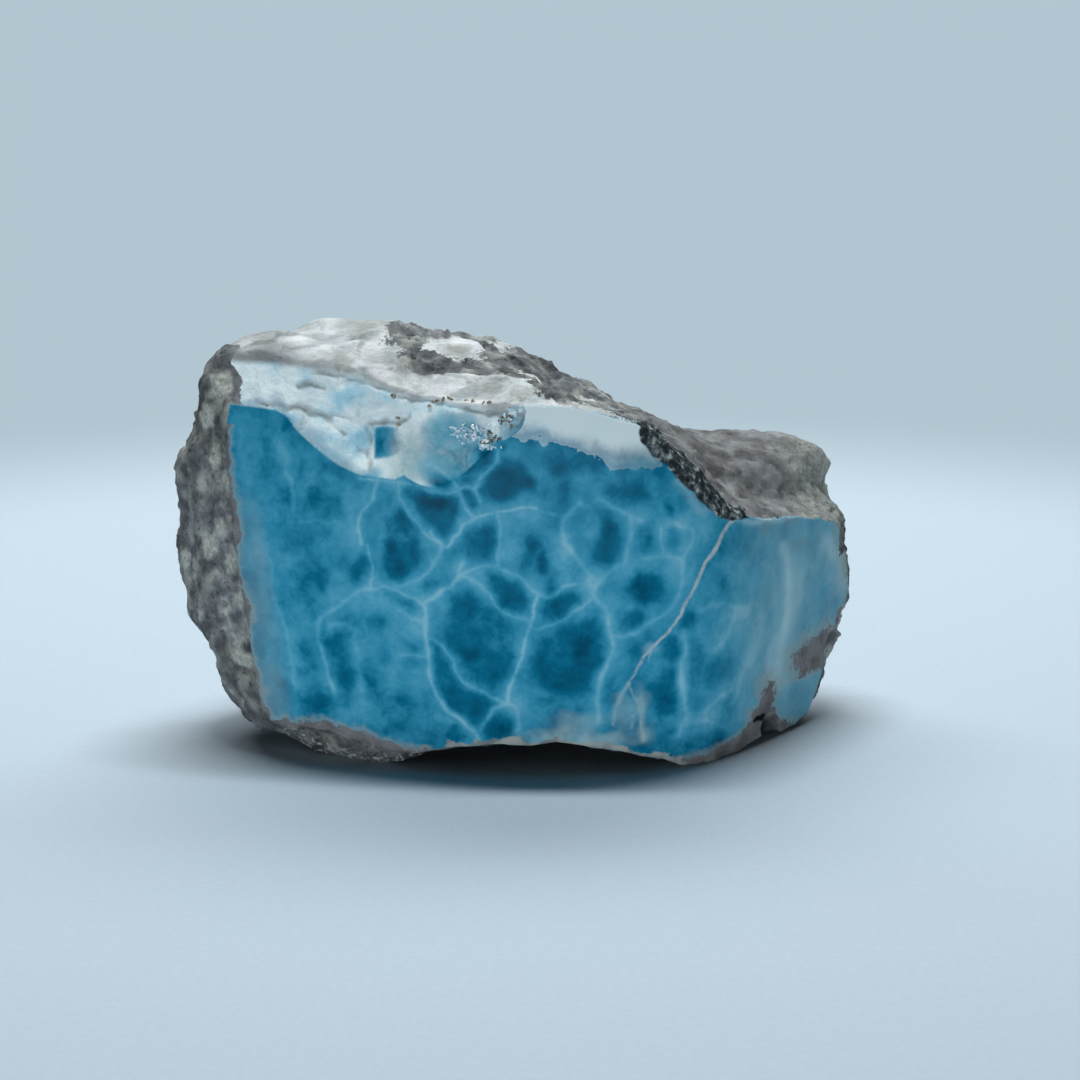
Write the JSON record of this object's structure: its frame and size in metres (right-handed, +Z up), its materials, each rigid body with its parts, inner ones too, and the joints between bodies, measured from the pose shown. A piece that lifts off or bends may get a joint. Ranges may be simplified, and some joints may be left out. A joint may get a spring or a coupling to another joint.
{
  "type": "raw larimar",
  "caption": "Hand-sized raw stone of blue pectolite in grey basalt, ground smooth on its front and broken rough all round.",
  "frame": {"origin": "middle of the stone's bounding box, on the surface it rests on", "axes": "+Z up; the smooth ground face looks along -Y; +X runs along the stone's length, to the right seen from the ground face"},
  "size_m": [0.121, 0.0662, 0.0725],
  "materials": {
    "larimar_in_basalt": "blue stone, smooth on its ground face, rough grey rock elsewhere"
  },
  "bodies": {
    "root": {"stone": "larimar_in_basalt"}
  },
  "joints": []
}
